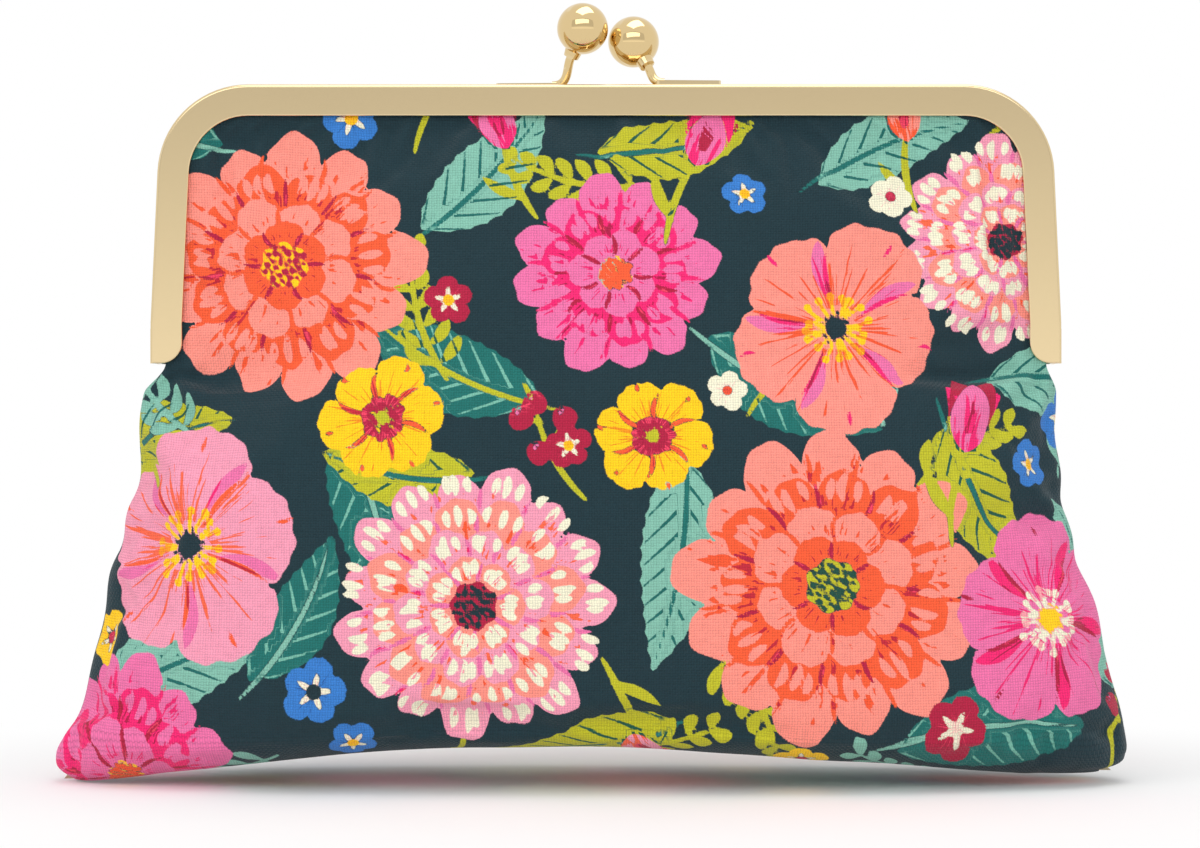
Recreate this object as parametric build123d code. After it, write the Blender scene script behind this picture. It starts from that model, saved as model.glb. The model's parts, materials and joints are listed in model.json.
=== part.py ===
from build123d import *
import math
import os

# ---------------------------------------------------------------- driving sizes (mm)
# Metal frame: two stamped channels hinged at the leg ends.
frame_half_width = 100.0     # centre to the outer face of a leg at the hinge
frame_top_z = 153.3          # top of the frame above the table
leg_end_z = 92.0             # lowest point of the legs
band = 7.0                   # width of the visible gold band
corner_radius = 20.0         # outer top corners
splay_deg = 2.6              # legs lean outward towards the hinge
sheet = 0.9                  # brass sheet
channel_gap = 3.2            # inside width of the channel
half_gap = 0.15              # each half stands this far from the middle plane
leg_toe_radius = 4.5         # rounded inner corner at the leg end
leg_straight = 0.4           # the legs stay upright this far above the hinge relief
edge_roll = 0.7              # rolled outer edges of the stamping
lip_roll = 0.35              # eased window edge

# Hinge
lug_radius = 3.8
rivet_dia = 2.4
pin_clearance = 0.05
lug_clearance = 0.05
rivet_head_dia = 4.6
rivet_head_height = 0.7
rivet_foot_dia = 4.0         # peened inner end
rivet_foot_height = 0.6
hinge_relief = 1.0           # free ring between a lug and the other half
swing_deg = 45.0             # each half opens this far

# Kiss lock
ball_dia = 11.3
ball_pass_clearance = 0.25   # the balls slide past each other with this much room
ball_rise_right = 10.1       # ball centre above the frame top
ball_rise_left = 12.6
ball_centre_x = 0.5          # middle of the pair
ball_cross = 1.6             # each ball rests this far past the middle plane
stem_dia = 2.0
stem_run = 5.2               # the stem leans this far towards the middle
neck_dia = 5.6               # collar where it meets the ball
neck_end_dia = 3.4           # collar where the stem enters it
neck_length = 1.2            # collar below the ball
socket_depth = 1.5           # the stem starts this far inside the collar's reach
foot_length = 11.7
foot_width = 2.8
foot_thickness = 1.0
foot_taper = 0.7             # each side narrows by this much towards the tip
foot_bend = 1.6              # run of the foot under the turned-up stem

# Cloth layers, outside to inside
canvas = 0.8
fleece = 1.6
lining = 0.6
tuck = 3.7                   # how deep the cloth is pushed into the channel
cord_dia = 2.0
swing_clearance = 0.3        # between cloth that swings and cloth that stays
rim_lap = 9.0                # the canvas reaches this much higher than its inner layers

# Pouch
base_half_width = 117.8
base_half_depth = 27.0
flap_bulge = 13.0            # belly of the upper cloth at hinge height
base_arch = 6.5              # the middle of the base stands this far off the table
base_roll = 11.0             # front and back edges of the base roll under
base_foot_x = 95.0           # the corners beyond this lie flat on the table
base_corner = 9.0            # rounded lower corners, seen from the front

# ---------------------------------------------------------------- derived sizes
half_depth = 2 * sheet + channel_gap
hinge_z = leg_end_z + lug_radius
kink_z = hinge_z + lug_radius + hinge_relief + leg_straight
wall_clear = (channel_gap - canvas - fleece - lining) / 2
tan_splay = math.tan(math.radians(splay_deg))
cos_splay = math.cos(math.radians(splay_deg))
cloth_face_y = half_gap + sheet + channel_gap - wall_clear
layers = {"panel": (0.0, canvas), "fleece": (canvas, fleece), "lining": (canvas + fleece, lining)}


def leg_x(z, inset=0.0):
    """Outer face of a leg at height z, moved inward by inset."""
    if z <= kink_z:
        return frame_half_width - inset
    return frame_half_width - inset / cos_splay - (z - kink_z) * tan_splay


def arch_face(inset, bottom_z):
    """Frame outline (round top corners, splayed legs) moved inward by inset."""
    top_z = frame_top_z - inset
    knee_z = kink_z - inset * math.tan(math.radians(splay_deg) / 2)
    knee_x = frame_half_width - inset
    top_x = leg_x(top_z, inset)
    with BuildSketch(Plane.XZ) as sk:
        with BuildLine():
            Polyline((knee_x, bottom_z), (knee_x, knee_z), (top_x, top_z), (-top_x, top_z),
                     (-knee_x, knee_z), (-knee_x, bottom_z), close=True)
        make_face()
        top = [v for v in sk.vertices() if abs(v.Y - top_z) < 0.01]
        fillet(top, corner_radius - inset)
    return sk.sketch


def arch_prism(inset, bottom_z, y_near, y_far):
    """Frame outline as a block from y_near (small) to y_far (large) in front of the middle plane."""
    return Pos(0, -y_near, 0) * extrude(arch_face(inset, bottom_z), amount=y_far - y_near)


def block(x0, x1, y0, y1, z0, z1):
    return Pos((x0 + x1) / 2, (y0 + y1) / 2, (z0 + z1) / 2) \
        * Box(abs(x1 - x0), abs(y1 - y0), abs(z1 - z0))


def x_cylinder(radius, x0, x1, y=0.0, z=hinge_z):
    return Pos((x0 + x1) / 2, y, z) * Rot(0, 90, 0) * Cylinder(radius, x1 - x0)


def frame_half(outer_lug):
    """One stamped half, in the front place. The outer face is at the smallest y."""
    near, far = half_gap, half_gap + half_depth
    ring = arch_prism(0, leg_end_z, near, far) - arch_prism(band, leg_end_z - 5, near - 1, far + 1)
    toes = [e for e in ring.edges().filter_by(Axis.Y)
            if abs(e.center().Z - leg_end_z) < 0.01
            and abs(abs(e.center().X) - (frame_half_width - band)) < 0.01]
    ring = fillet(toes, leg_toe_radius)
    ring = fillet([e for e in face_edges(ring, far) if not is_window_edge(e @ 0.5)], edge_roll)
    ring = fillet([e for e in face_edges(ring, far) if is_window_edge(e @ 0.5)], lip_roll)
    half = ring - arch_prism(sheet, leg_end_z - 5, near + sheet, far - sheet)
    # The wall that faces the other half stops above the hinge, so the legs can turn.
    clear_z = hinge_z + lug_radius + hinge_relief
    web = frame_half_width - sheet
    half -= block(-web, web, -(far - sheet), 0, leg_end_z - 5, clear_z)
    if outer_lug:
        # The web itself reaches past the middle plane as a round lug.
        lug = x_cylinder(lug_radius, web, frame_half_width)
        lug += block(web, frame_half_width, -far + sheet / 2, 0,
                     hinge_z - lug_radius, hinge_z + lug_radius)
        bore = rivet_dia / 2
    else:
        # The web stops above the hinge; a strip one sheet further in carries the lug.
        for s in (1, -1):
            half -= block(s * (web - 1), s * (frame_half_width + 2), -(far - sheet), 1,
                          leg_end_z - 5, clear_z)
        outside = web - lug_clearance
        lug = x_cylinder(lug_radius, outside - sheet, outside)
        lug += block(outside - sheet, outside, -far + sheet / 2, 0,
                     hinge_z - lug_radius, hinge_z + lug_radius)
        bore = rivet_dia / 2 + pin_clearance
    half = half + lug + mirror(lug, about=Plane.YZ)
    return half - x_cylinder(bore, web - 3, web + 3) - x_cylinder(bore, -web - 3, -web + 3)


def face_edges(ring, far):
    """Edges of the outer face, without the short ones across the leg ends."""
    return [e for e in ring.edges()
            if abs((e @ 0).Y + far) < 0.01 and abs((e @ 1).Y + far) < 0.01
            and (e @ 0.5).Z > leg_end_z + 0.01]


def is_window_edge(point):
    """True nearer the window than the outside of the band."""
    centre_z = frame_top_z - corner_radius
    centre_x = leg_x(centre_z, corner_radius)
    if point.Z > centre_z and abs(point.X) > centre_x:
        reach = math.hypot(point.Z - centre_z, abs(point.X) - centre_x)
        return reach < corner_radius - band / 2
    if point.Z > centre_z:
        return frame_top_z - point.Z > band / 2
    return leg_x(point.Z) - abs(point.X) > band / 2


def hinge_rivet():
    """Rivet on the right: peened into the front lug, the back lug turns on it."""
    x_out = frame_half_width
    x_in = x_out - 2 * sheet - 2 * lug_clearance
    x_end = x_in - rivet_foot_height
    pin_r, foot_r, head_r = rivet_dia / 2, rivet_foot_dia / 2, rivet_head_dia / 2
    bevel = 0.4 * rivet_foot_height
    dome_r = (head_r ** 2 + rivet_head_height ** 2) / (2 * rivet_head_height)
    dome_x = x_out + rivet_head_height - dome_r
    lean = math.asin(head_r / dome_r) / 2
    with BuildSketch() as sk:
        with BuildLine():
            Polyline((x_end, 0), (x_end, foot_r - bevel), (x_end + bevel, foot_r), (x_in, foot_r),
                     (x_in, pin_r), (x_out, pin_r), (x_out, head_r))
            ThreePointArc((x_out, head_r),
                          (dome_x + dome_r * math.cos(lean), dome_r * math.sin(lean)),
                          (x_out + rivet_head_height, 0))
            Line((x_out + rivet_head_height, 0), (x_end, 0))
        make_face()
    return Pos(0, 0, hinge_z) * revolve(sk.sketch, axis=Axis.X)


# ---------------------------------------------------------------- kiss lock
dz_balls = ball_rise_left - ball_rise_right
dx_balls = math.sqrt((ball_dia + ball_pass_clearance) ** 2 - dz_balls ** 2)
rail_y = half_gap + half_depth / 2
ball_front = Vector(ball_centre_x + dx_balls / 2, ball_cross, frame_top_z + ball_rise_right)
ball_back = Vector(ball_centre_x - dx_balls / 2, -ball_cross, frame_top_z + ball_rise_left)
neck_reach = ball_dia / 2 + neck_length


def stem_ends(ball_at, side):
    """Point on the foot where the stem leaves, and the unit vector from it up to the ball."""
    start = Vector(ball_at.X + side * stem_run, -side * rail_y, frame_top_z + foot_thickness / 2)
    return start, (ball_at - start).normalized()


def clasp_ball(ball_at, side):
    start, up = stem_ends(ball_at, side)
    axis = Plane(origin=ball_at, z_dir=up)
    ball = Pos(*ball_at) * Sphere(ball_dia / 2)
    collar = axis * Pos(0, 0, -neck_reach / 2) * Cone(neck_end_dia / 2, neck_dia / 2, neck_reach)
    socket = axis * Pos(0, 0, -neck_reach) \
        * Cylinder(stem_dia / 2, 2 * (neck_reach - socket_depth))
    return ball + collar - socket


def clasp_arm(ball_at, side):
    """Flat foot along the top rail, turned up into a round stem that carries the ball."""
    start, up = stem_ends(ball_at, side)
    tip = ball_at - up * (socket_depth + 0.5)
    out = Vector(side, 0, 0)
    root = start + out * foot_bend
    neck = ball_at - up * (neck_reach + 0.4)
    path = Spline([root, neck], tangents=[out * -1, up])
    bend = sweep(Plane(origin=root, z_dir=out * -1) * Circle(stem_dia / 2), path=path)
    length = (tip - neck).length
    pin = Plane(origin=neck, z_dir=up) * Pos(0, 0, length / 2) * Cylinder(stem_dia / 2, length)
    w0, w1 = foot_width / 2, foot_width / 2 - foot_taper
    x0, x1 = root.X - side * 1.2, root.X + side * foot_length
    y0 = -side * rail_y
    with BuildSketch(Plane.XY.offset(frame_top_z)) as sk:
        with BuildLine():
            a = Line((x0, y0 - w0), (x1, y0 - w1))
            b = Line((x0, y0 + w0), (x1, y0 + w1))
            ThreePointArc((x1, y0 - w1), (x1 + side * w1, y0), (x1, y0 + w1))
            ThreePointArc((x0, y0 - w0), (x0 - side * w0 * 0.6, y0), (x0, y0 + w0))
        make_face()
    foot = extrude(sk.sketch, amount=foot_thickness)
    arm = foot + bend + pin
    # The underside sits flat on the rail.
    arm -= block(x0 - side * ball_dia, x1 + side * ball_dia, y0 - ball_dia, y0 + ball_dia,
                 frame_top_z - ball_dia, frame_top_z)
    return arm


# ---------------------------------------------------------------- cloth in the frame
mouth_z = frame_top_z - band


def flap_belly(z):
    """Belly of the upper cloth at height z: nothing at the mouth, most at the fold."""
    return max(0.0, flap_bulge * (mouth_z - z) / (mouth_z - hinge_z))


def flap_depth(x, z):
    """How far the outer cloth stands in front of the middle plane above the fold."""
    u = min(1.0, abs(x) / leg_x(z, band))
    return cloth_face_y + flap_belly(z) * (1 - u * u)


def flap_section(z, offset_in, thickness):
    """Plan section of one layer: flat in both channels, bellied between them."""
    half, tab = leg_x(z, band), frame_half_width + 1
    front = -cloth_face_y + offset_in
    with BuildSketch(Plane.XY.offset(z)) as sk:
        with BuildLine():
            Line((-tab, front), (-half, front))
            Bezier((-half, front), (0, front - 2 * flap_belly(z)), (half, front))
            Polyline((half, front), (tab, front), (tab, front + thickness),
                     (half, front + thickness))
            Bezier((half, front + thickness), (0, front + thickness - 2 * flap_belly(z)),
                   (-half, front + thickness))
            Polyline((-half, front + thickness), (-tab, front + thickness), (-tab, front))
        make_face()
    return sk.sketch


def flap_layer(offset_in, thickness):
    """One cloth layer of the upper front, tucked in the channel on three sides."""
    slab = loft([flap_section(z, offset_in, thickness) for z in (leg_end_z - 2, mouth_z)], ruled=True)
    front = -cloth_face_y + offset_in
    slab += block(-frame_half_width, frame_half_width, front, front + thickness,
                  mouth_z, frame_top_z)
    flap = slab & arch_prism(band - tuck, leg_end_z, half_gap, half_gap + base_half_depth)
    # Below the hinge the cloth is trimmed so both flaps can turn without meeting.
    trim = Pos(0, 0, hinge_z) * Rot(-swing_deg, 0, 0) \
        * Pos(0, 20 - swing_clearance / 2, -20) * Box(3 * frame_half_width, 40, 40)
    trim &= block(-2 * frame_half_width, 2 * frame_half_width, -60, 60, hinge_z - 60, hinge_z)
    return flap - trim


def channel_cord():
    """Paper cord packed behind the cloth in the front channel."""
    inset = sheet + cord_dia / 2 + 0.1
    y = -(half_gap + sheet + channel_gap / 2)
    start_z = kink_z + 1.5
    top_z = frame_top_z - inset
    r = corner_radius - inset
    a = math.radians(splay_deg)
    top_x = leg_x(top_z, inset)
    # Tangent points of the corner arc on the leg and on the rail.
    t = r * math.tan((math.pi / 2 - a) / 2)
    lx, lz = top_x + t * math.sin(a), top_z - t * math.cos(a)
    hx = top_x - t
    middle = a + (math.pi / 2 - a) / 2
    mx, mz = hx + r * math.cos(middle), top_z - r + r * math.sin(middle)
    sx = leg_x(start_z, inset)
    with BuildLine() as path:
        Line((sx, y, start_z), (lx, y, lz))
        ThreePointArc((lx, y, lz), (mx, y, mz), (hx, y, top_z))
        Line((hx, y, top_z), (-hx, y, top_z))
        ThreePointArc((-hx, y, top_z), (-mx, y, mz), (-lx, y, lz))
        Line((-lx, y, lz), (-sx, y, start_z))
    begin = Plane(origin=(sx, y, start_z), z_dir=Vector(lx - sx, 0, lz - start_z))
    return sweep(begin * Circle(cord_dia / 2), path=path.line)


# ---------------------------------------------------------------- pouch
def sweep_radius(x):
    """Largest distance from the hinge line that the swinging cloth reaches at x."""
    r = math.hypot(flap_depth(x, leg_end_z), lug_radius)
    lean = math.radians(swing_deg)
    for i in range(25):
        h = i / 24 * flap_depth(x, hinge_z) * math.tan(lean)
        y = flap_depth(x, hinge_z + h)
        if h <= y * math.tan(lean):
            r = max(r, math.hypot(y, h))
    return r


leg_sweep = math.hypot(half_gap + half_depth, lug_radius) + swing_clearance
rim_half_width = frame_half_width + 0.5
rim_half_depth = sweep_radius(0) + swing_clearance + canvas

# Plan sections of the front half: half depth at the corner and length of the corner.
rim_corner_depth = 8.5
rim_corner_length = 10.5
base_corner_depth = 15.0
base_corner_length = 12.0
section_shares = (-0.05, 0.12, 0.3, 0.5, 0.75, 1.0)   # heights, as shares of the hinge height


def flare(share):
    """How far a section has grown from the rim's size (0) to the base's (1): width, depth."""
    return (1 - share) ** 2, math.sin(math.pi / 2 * min(1.0, (1 - share) * 1.25))


def half_section(share, inset, overrun):
    """Front half of a plan section, closed on the middle plane (or past it by overrun)."""
    wide, deep = flare(share)
    x = rim_half_width + (base_half_width - rim_half_width) * wide - inset
    y = rim_half_depth + (base_half_depth - rim_half_depth) * deep - inset
    corner_y = rim_corner_depth + (base_corner_depth - rim_corner_depth) * deep - inset
    corner = rim_corner_length + (base_corner_length - rim_corner_length) * deep
    diag = math.sqrt(0.5)
    with BuildSketch(Plane.XY.offset(share * hinge_z)) as sk:
        with BuildLine():
            ThreePointArc((-x, 0), (-x + corner * (1 - diag), -corner_y * diag),
                          (-x + corner, -corner_y))
            ThreePointArc((-x + corner, -corner_y), (0, -y), (x - corner, -corner_y))
            ThreePointArc((x - corner, -corner_y), (x - corner * (1 - diag), -corner_y * diag),
                          (x, 0))
            Polyline((x, 0), (x, overrun), (-x, overrun), (-x, 0))
        make_face()
    return sk.sketch


def pouch_block(inset):
    """Front half of the pouch as a full block, moved inward by inset, reaching past the middle."""
    body = loft([half_section(share, inset, 4.0) for share in section_shares], ruled=True)
    # Rounded lower corners, seen from the front.
    wide = base_half_width + 3 - inset
    with BuildSketch(Plane.XZ) as sk:
        with BuildLine():
            FilletPolyline((-wide, hinge_z + 5), (-wide, inset), (wide, inset),
                           (wide, hinge_z + 5), radius=base_corner - inset)
            Line((wide, hinge_z + 5), (-wide, hinge_z + 5))
        make_face()
    body &= Pos(0, 10, 0) * extrude(sk.sketch, amount=base_half_depth + 20)
    # The base: a long arch between the two flat corners, with rolled front and back edges.
    radius = base_foot_x ** 2 / (2 * base_arch)
    axis_z = base_arch - radius
    deep = base_half_depth + 0.4 - inset
    floor_z = base_arch + inset
    roll = base_roll - inset
    with BuildSketch(Plane.YZ) as sk:
        with BuildLine():
            FilletPolyline((-deep, 2 * hinge_z), (-deep, floor_z), (6, floor_z), radius=roll)
            Polyline((6, floor_z), (6, 2 * hinge_z), (-deep, 2 * hinge_z))
        make_face()
    hull = revolve(sk.sketch, axis=Axis((0, 0, axis_z), (0, 1, 0)), revolution_arc=24)
    hull = Pos(0, 0, axis_z) * Rot(0, -12, 0) * Pos(0, 0, -axis_z) * hull
    return body & hull


def swing_room():
    """Space that the upper cloth and the legs sweep as the purse opens."""
    edge_x = frame_half_width - band - 0.6
    steps = 8
    reach = []
    for i in range(steps + 1):
        x = edge_x * (2 * i / steps - 1)
        reach.append((x, hinge_z + sweep_radius(x) + swing_clearance))
    with BuildSketch(Plane.XZ) as sk:
        with BuildLine():
            Spline(*reach)
            Polyline(reach[-1], (edge_x, hinge_z), (-edge_x, hinge_z), reach[0])
        make_face()
    room = revolve(sk.sketch, axis=Axis((0, 0, hinge_z), (1, 0, 0)))
    far = frame_half_width + 6
    room += x_cylinder(leg_sweep, -far, far)
    for s in (1, -1):
        room += block(s * edge_x, s * far, -40, 40, hinge_z - leg_sweep, hinge_z + 10)
    return room


# ---------------------------------------------------------------- build
def write(name, shape, label_color):
    shape.label = name
    shape.color = label_color
    export_step(shape, "parts/" + name + ".step")
    solids = shape.solids()
    print(name, "solids", len(solids), "volume", round(sum(s.volume for s in solids), 1))


gold = Color(0.86, 0.72, 0.45)
print_colour = Color(0.85, 0.45, 0.50)
fleece_colour = Color(0.93, 0.92, 0.88)
lining_colour = Color(0.80, 0.75, 0.62)
cord_colour = Color(0.85, 0.80, 0.70)

os.makedirs("parts", exist_ok=True)

write("front_frame", frame_half(True), gold)
write("back_frame", mirror(frame_half(False), about=Plane.XZ), gold)
rivet = hinge_rivet()
write("hinge_rivet_right", rivet, gold)
write("hinge_rivet_left", mirror(rivet, about=Plane.YZ), gold)
write("clasp_ball_front", clasp_ball(ball_front, 1), gold)
write("clasp_ball_back", clasp_ball(ball_back, -1), gold)
write("clasp_arm_front", clasp_arm(ball_front, 1), gold)
write("clasp_arm_back", clasp_arm(ball_back, -1), gold)
cord = channel_cord()
write("front_channel_cord", cord, cord_colour)
write("back_channel_cord", mirror(cord, about=Plane.XZ), cord_colour)

colours = {"panel": print_colour, "fleece": fleece_colour, "lining": lining_colour}
room = swing_room()
above_lap = block(-2 * base_half_width, 2 * base_half_width, -3 * base_half_depth, 1,
                  hinge_z - rim_lap, 2 * hinge_z)
front_space = block(-2 * base_half_width, 2 * base_half_width, -3 * base_half_depth, 0,
                    -base_corner, 2 * hinge_z)
for name, (start, thick) in layers.items():
    upper = flap_layer(start, thick)
    write("front_" + name + "_upper", upper, colours[name])
    write("back_" + name + "_upper", mirror(upper, about=Plane.XZ), colours[name])
    shell = (pouch_block(start) - pouch_block(start + thick)) & front_space
    if name == "panel":
        lower = shell - room
    else:
        lower = shell - above_lap
    write("front_" + name + "_lower", lower, colours[name])
    write("back_" + name + "_lower", mirror(lower, about=Plane.XZ), colours[name])
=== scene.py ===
import json
import math

import bpy
import numpy as np
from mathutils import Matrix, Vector, noise


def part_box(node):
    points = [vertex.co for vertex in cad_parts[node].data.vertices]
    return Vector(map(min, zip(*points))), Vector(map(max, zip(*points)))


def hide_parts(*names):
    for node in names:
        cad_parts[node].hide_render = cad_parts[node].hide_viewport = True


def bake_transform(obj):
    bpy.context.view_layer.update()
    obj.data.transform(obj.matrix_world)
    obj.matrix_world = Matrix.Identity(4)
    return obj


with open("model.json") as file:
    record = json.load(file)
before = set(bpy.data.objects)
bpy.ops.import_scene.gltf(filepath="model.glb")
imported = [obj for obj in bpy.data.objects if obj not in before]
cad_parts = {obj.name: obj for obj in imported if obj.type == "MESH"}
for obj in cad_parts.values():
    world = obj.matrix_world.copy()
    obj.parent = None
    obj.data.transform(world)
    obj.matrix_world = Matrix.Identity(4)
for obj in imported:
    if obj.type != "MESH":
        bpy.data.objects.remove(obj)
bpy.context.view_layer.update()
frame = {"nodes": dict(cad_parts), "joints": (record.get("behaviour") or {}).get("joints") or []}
mm = 0.001

# ---------------------------------------------------------------- places on the frame, some read from its parts and some given
frame_low, frame_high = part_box("front_frame")
hinge = Vector(frame["joints"][0]["pos_m"])
band = 7.0                                    # visible gold band, mm
top_z = frame_high.z / mm
leg_end = frame_low.z / mm
mouth = top_z - band                          # where the cloth comes out of the top channel
leg_straight_z = 102.0                        # below this, near the legs' bend, the cut is upright
channel_y = 4.15                              # the cloth's outer face inside the channel
tuck = 3.7                                    # how deep the cloth sits in the channel
frame_half = frame_high.x / mm
hinge_z = hinge.z / mm
corner_radius = 20.0                          # the frame's outer top corners
splay = math.tan(math.radians(2.6))           # the legs lean outward towards the hinge


# ---------------------------------------------------------------- small helpers
def smooth(points, x):
    """Smooth curve through a few given points (cubic Hermite), clamped at the ends."""
    px = np.array([p[0] for p in points], float)
    py = np.array([p[1] for p in points], float)
    order = np.argsort(px)
    px, py = px[order], py[order]
    slope = np.gradient(py, px)
    x = np.clip(np.asarray(x, float), px[0], px[-1])
    i = np.clip(np.searchsorted(px, x) - 1, 0, len(px) - 2)
    h = px[i + 1] - px[i]
    t = (x - px[i]) / h
    return ((2 * t**3 - 3 * t**2 + 1) * py[i] + (t**3 - 2 * t**2 + t) * h * slope[i]
            + (-2 * t**3 + 3 * t**2) * py[i + 1] + (t**3 - t**2) * h * slope[i + 1])


def step(a, b, x):
    t = np.clip((x - a) / (b - a), 0, 1)
    return t * t * (3 - 2 * t)


def srgb(r, g, b):
    """A colour seen on screen, 0 to 255, as scene-linear."""
    def one(c):
        c = c / 255
        return c / 12.92 if c <= 0.04045 else ((c + 0.055) / 1.055) ** 2.4
    return (one(r), one(g), one(b), 1.0)


def new_object(name, data):
    obj = bpy.data.objects.new(name, data)
    bpy.context.scene.collection.objects.link(obj)
    return obj


# ---------------------------------------------------------------- cloth shape
# Side outlines of the pouch below the hinge: height and half width, mm.
left_side = [(92, 100.4), (81, 103.0), (71, 102.6), (60, 105.2), (45, 109.4), (30, 112.6),
             (18, 115.2), (11, 118.8), (6, 121.6), (2.5, 121.0), (0, 117.5)]
right_side = [(92, 99.7), (80, 99.6), (66, 100.4), (52, 103.2), (40, 107.4), (28, 110.8),
              (16, 113.2), (9, 114.8), (5, 114.6), (2.2, 113.0), (0.6, 109.0)]
# Half depth at the middle of the purse by height, mm.
belly = [(mouth + 4, channel_y), (mouth, channel_y), (134, 7.4), (120, 11.4), (106, 15.0),
         (hinge_z, 17.4), (80, 21.0), (60, 24.4), (40, 26.2), (22, 26.9), (12, 26.2)]
base_roll = 11.0                               # the front turns under over this height
base_arch = 8.8                                # the middle of the base stands this high
arch_middle = -10.0                            # and its highest point is left of the middle
arch_reach = 104.0                             # the arch ends this far from its highest point
base_lift, right_lift = 0.25, 1.9              # the base off the table, and its right corner more
base_hump = 0.25                               # the base rises by a quarter of this between its edges
# Both panels are made alike: -1 is the front, 1 the back.
word_for = {-1: "front", 1: "back"}
fold_seed = {-1: 1.7, 1: 6.1}
print_shift = {-1: (0.0, 0.0), 1: (-9.0, 3.0)}  # the back is cut from another place of the print
lining_depth = 2.9                             # from the canvas face to the lining
canvas_pitch, lining_pitch = 0.57, 0.42        # mm a thread
columns = 300
rows_frame, rows_hinge, rows_wall = 78, 16, 96  # beside the window, at the hinges, below them
rows_roll, rows_base = 26, 26


def window_half(z):
    """Half width of the frame's window at height z."""
    return frame_half - band - np.maximum(0, z - leg_straight_z) * splay


def channel_half(z):
    """Half width that the cloth reaches inside the channel, round the top corners."""
    side = window_half(z) + tuck
    radius = corner_radius - band + tuck
    centre_z = top_z - corner_radius
    centre_x = window_half(centre_z) + tuck - radius
    over = np.clip(z - centre_z, 0, radius - 0.01)
    return np.where(z > centre_z, centre_x + np.sqrt(radius**2 - over**2), side)


def wall_points(u, z):
    """Front wall above the base roll: x and the distance in front of the middle plane."""
    up_x = channel_half(z) * u
    s = np.clip(np.abs(up_x) / window_half(z), 0, 1)
    deep = smooth(belly, z)
    up_y = channel_y + (deep - channel_y) * (1 - s * s)
    width = np.where(u < 0, smooth(left_side, z), smooth(right_side, z))
    width = width + 0.45 * np.sin(z * 0.36 + 1.2 * np.sin(z * 0.11) + np.sign(u)) * step(86, 76, z) \
        * step(8, 18, z)
    full = step(95, 60, z)
    power, root = 2.0 + 0.7 * full, 0.62 - 0.17 * full
    low_x = width * u
    low_y = deep * np.clip(1 - np.abs(u) ** power, 0, 1) ** root
    t = step(leg_end + 0.2, leg_end - 6.5, z)
    return up_x + (low_x - up_x) * t, up_y + (low_y - up_y) * t


def panel_grid(side):
    """Grid of points of one whole panel, channel edge to base seam. side is -1 front, +1 back."""
    z_wall = np.concatenate([np.linspace(mouth + tuck - 0.2, leg_end + 0.5, rows_frame),
                             np.linspace(leg_end, leg_end - 7, rows_hinge),
                             np.linspace(leg_end - 8, base_roll + 1.5, rows_wall)])
    u = np.linspace(-1, 1, columns + 1)
    u = np.sign(u) * (1 - (1 - np.abs(u)) ** 1.12)
    rows = []
    for z in z_wall:
        x, y = wall_points(u, np.full_like(u, z))
        rows.append(np.stack([x, y, np.full_like(u, z)], 1))
    # The roll: from the last wall row down and under to the flat of the base.
    x0, y0 = rows[-1][:, 0], rows[-1][:, 1]
    z0 = z_wall[-1]
    left0, right0 = smooth(left_side, z0), smooth(right_side, z0)
    arch = base_arch * np.clip(1 - (np.abs(x0 - arch_middle) / arch_reach) ** 2, 0, 1) ** 1.2
    tip = base_lift + right_lift * step(10, 110, x0)
    for k in range(1, rows_roll + 1):
        a = k / rows_roll * math.pi / 2
        drop = math.sin(a)
        z = z0 + (arch + tip - z0) * drop
        side_z = z0 * (1 - drop)
        wide = np.where(u < 0, smooth(left_side, side_z) / left0, smooth(right_side, side_z) / right0)
        back = np.minimum(base_roll, 0.62 * y0)
        y = y0 - back * (1 - math.cos(a))
        rows.append(np.stack([x0 * (1 + (wide - 1) * np.abs(u) ** 3), y, z], 1))
    xe, ye, ze = rows[-1].T
    for k in range(1, rows_base + 1):
        t = k / rows_base
        rows.append(np.stack([xe, ye * (1 - t), ze + base_hump * t * (1 - t)], 1))
    g = np.array(rows)
    g[..., 1] *= side
    return g


def grid_normals(g):
    du = np.gradient(g, axis=1)
    dv = np.gradient(g, axis=0)
    n = np.cross(du, dv)
    return n / np.maximum(np.linalg.norm(n, axis=2, keepdims=True), 1e-9)


def outward_normals(g, side):
    n = grid_normals(g)
    return n * np.where((n[..., 1] * side).mean() > 0, 1, -1)


def flat_coordinates(g):
    """Where each point lies on the cloth laid flat, mm: across from the middle, up from the base."""
    du = np.linalg.norm(np.diff(g, axis=1), axis=2)
    across = np.concatenate([np.zeros((len(g), 1)), np.cumsum(du, axis=1)], 1)
    across -= across[:, [across.shape[1] // 2]]
    mid = g.shape[1] // 2
    dv = np.linalg.norm(np.diff(g[:, mid], axis=0), axis=1)
    down = np.concatenate([[0], np.cumsum(dv)])
    return across, np.repeat((mouth + tuck - down)[:, None], g.shape[1], 1)


def fill_between(coarse, at, count):
    """Smoothly fills in the rows between those known, which stand at the indices in at."""
    place = np.interp(np.arange(count), at, np.arange(len(at)))
    i = np.clip(place.astype(int), 0, len(at) - 2)
    t = (place - i)[:, None, None]
    a, b, c, d = (coarse[np.clip(i + k, 0, len(at) - 1)] for k in (-1, 0, 1, 2))
    return 0.5 * (2 * b + (c - a) * t + (2 * a - 5 * b + 4 * c - d) * t * t
                  + (3 * b - a - 3 * c + d) * t ** 3)


settle_step = 4                                # every 4th point of the panel takes part
settle_frames = 22
settle_pressure, settle_shrink = 2.0, -0.028   # filling, and how much bigger the cloth is cut
settle_cap = 3.2                               # most movement, before the swell comes off, mm
settle_swell = 0.12                            # share of the broad swell that is kept
settle_smoothing = 50                          # passes that tell swell from folds


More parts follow.
